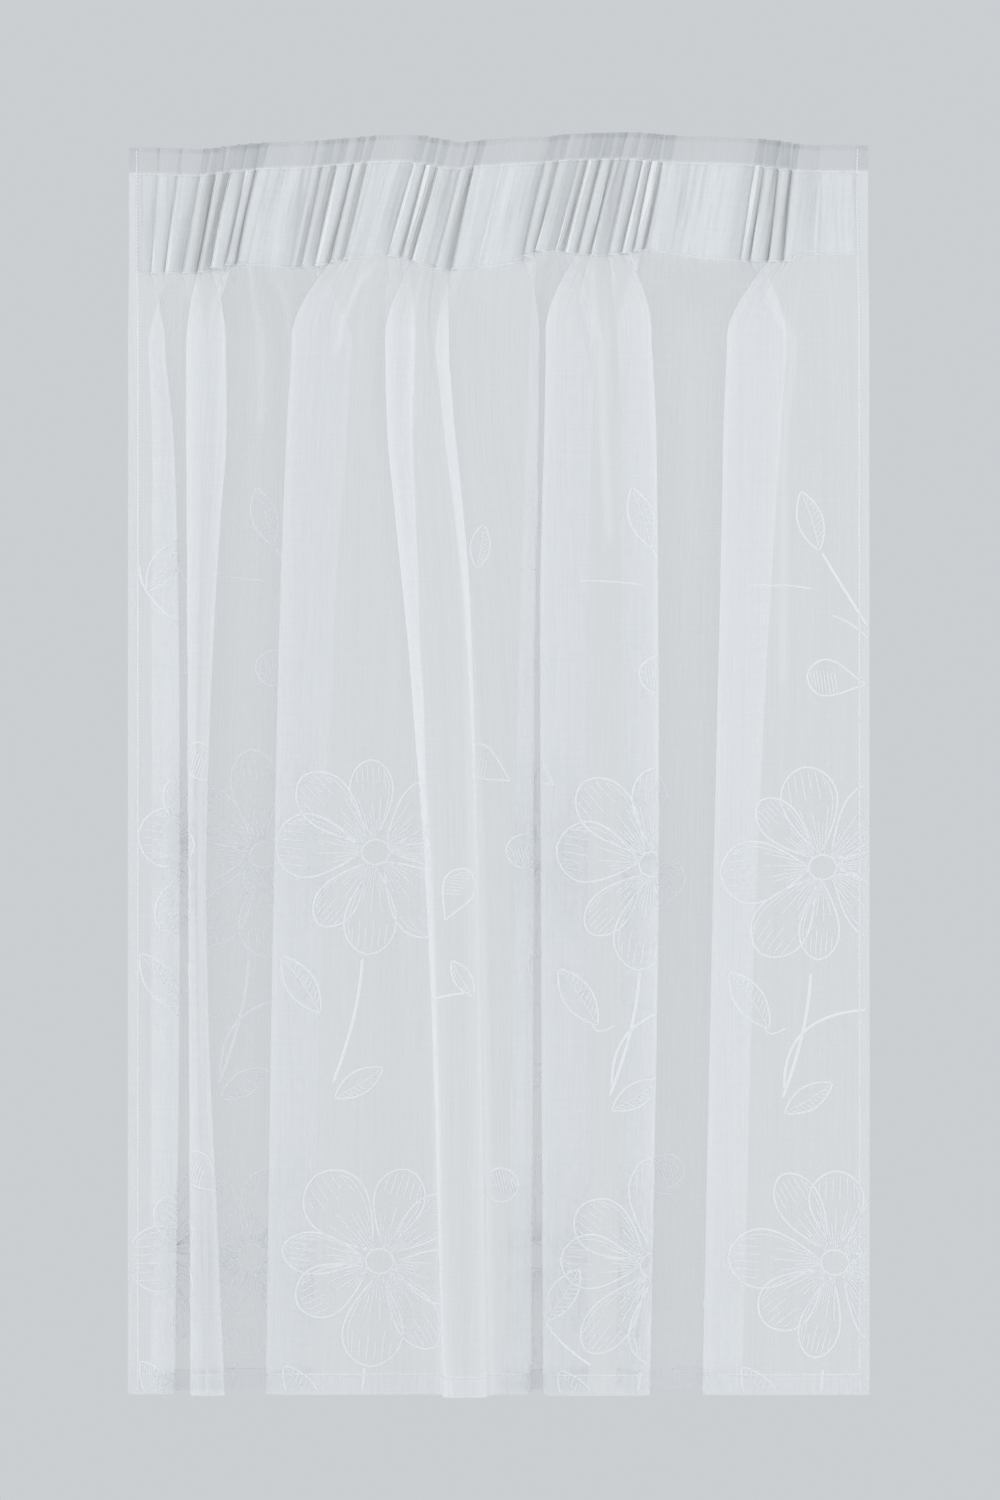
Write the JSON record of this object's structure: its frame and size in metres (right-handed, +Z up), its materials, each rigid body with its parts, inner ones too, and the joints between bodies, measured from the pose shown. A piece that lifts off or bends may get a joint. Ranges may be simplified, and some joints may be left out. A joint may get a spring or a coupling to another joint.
{
  "type": "sheer voile curtain",
  "caption": "Sheer embroidered voile curtain, hung in loose uneven folds from a gathered heading tape with a frill above it.",
  "frame": {"origin": "middle of the curtain's top edge, where the rail holds it", "axes": "+Z up along the drop, +X to the right as seen from the room, -Y towards the room"},
  "size_m": [0.7405, 0.1242, 1.2611],
  "materials": {
    "voile": "sheer plain weave, pale grey white",
    "heading_tape": "dense woven tape, cream white"
  },
  "bodies": {
    "root": {"voile": "voile", "heading_tape": "heading_tape"}
  },
  "joints": []
}
